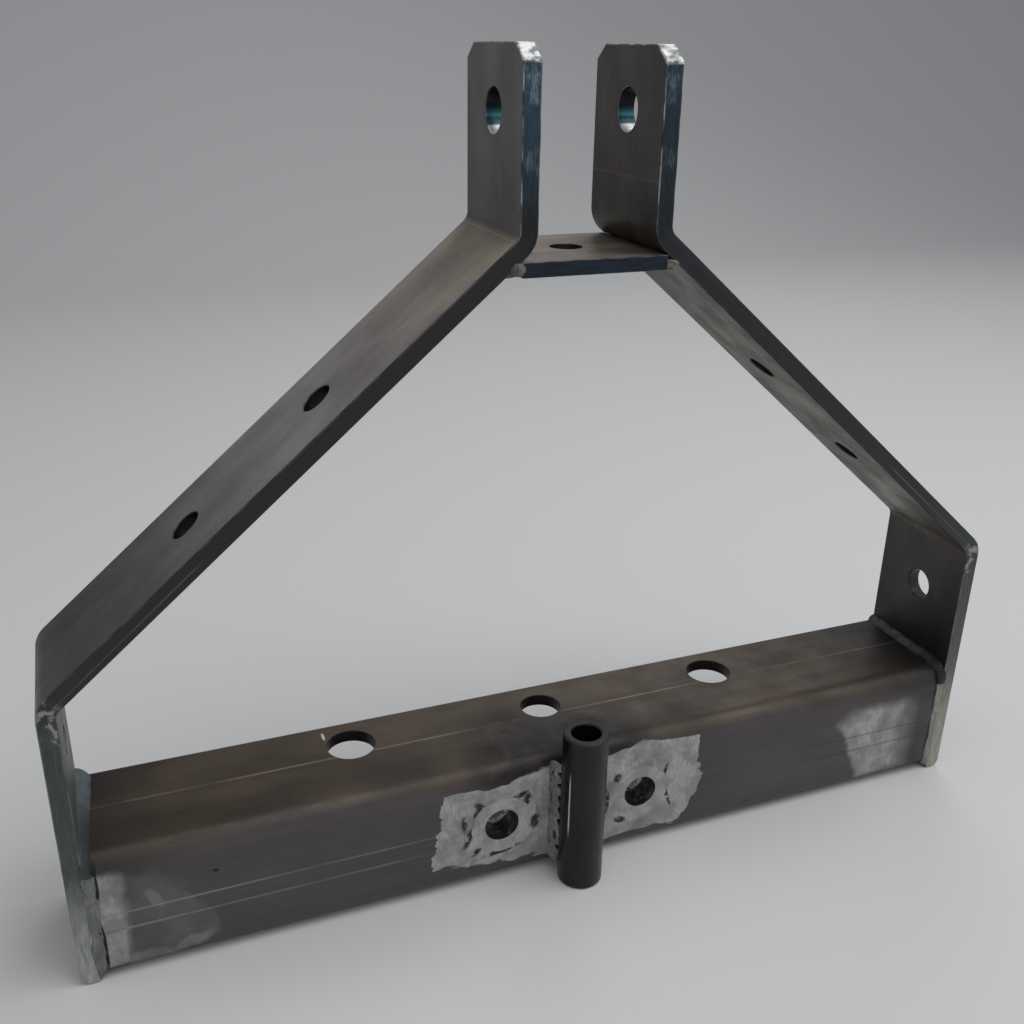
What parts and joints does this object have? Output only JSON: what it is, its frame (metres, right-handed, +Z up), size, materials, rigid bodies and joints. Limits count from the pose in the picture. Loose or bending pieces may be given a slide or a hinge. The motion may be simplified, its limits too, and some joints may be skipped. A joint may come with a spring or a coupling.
{
  "type": "sleeve hitch adapter",
  "caption": "Welded A-frame three-point hitch adapter with an upright pivot sleeve on its cross channel, threaded sway-bolt bushings beside it and a top-link clevis.",
  "frame": {"origin": "on the pivot sleeve's axis, at the sleeve's lower end, level with the underside of the cross channel and the legs", "axes": "+X to the right along the cross channel as seen from the sleeve side, +Y from the sleeve towards the channel's open back and the tractor, +Z up towards the clevis ears"},
  "size_m": [0.473, 0.0857, 0.388],
  "materials": {
    "mill_scale_bar": "hot-rolled flat bar with dark blue-grey mill scale",
    "mill_scale_channel": "hot-rolled plate with brown-grey mill scale",
    "drawn_tube": "dark oiled tube",
    "turned_steel": "turned and ground bright steel",
    "weld_metal": "wire-brushed weld metal"
  },
  "bodies": {
    "root": {"left_side_bar": "mill_scale_bar", "right_side_bar": "mill_scale_bar", "cross_channel": "mill_scale_channel", "tie_plate": "mill_scale_bar", "pivot_sleeve": "drawn_tube", "left_set_bushing": "turned_steel", "right_set_bushing": "turned_steel", "left_leg_top_weld": "weld_metal", "right_leg_top_weld": "weld_metal", "left_leg_front_weld": "weld_metal", "right_leg_front_weld": "weld_metal", "left_leg_inside_weld": "weld_metal", "right_leg_inside_weld": "weld_metal", "left_tie_weld": "weld_metal", "right_tie_weld": "weld_metal", "left_sleeve_weld": "weld_metal", "right_sleeve_weld": "weld_metal", "left_bushing_weld": "weld_metal", "right_bushing_weld": "weld_metal"}
  },
  "joints": []
}
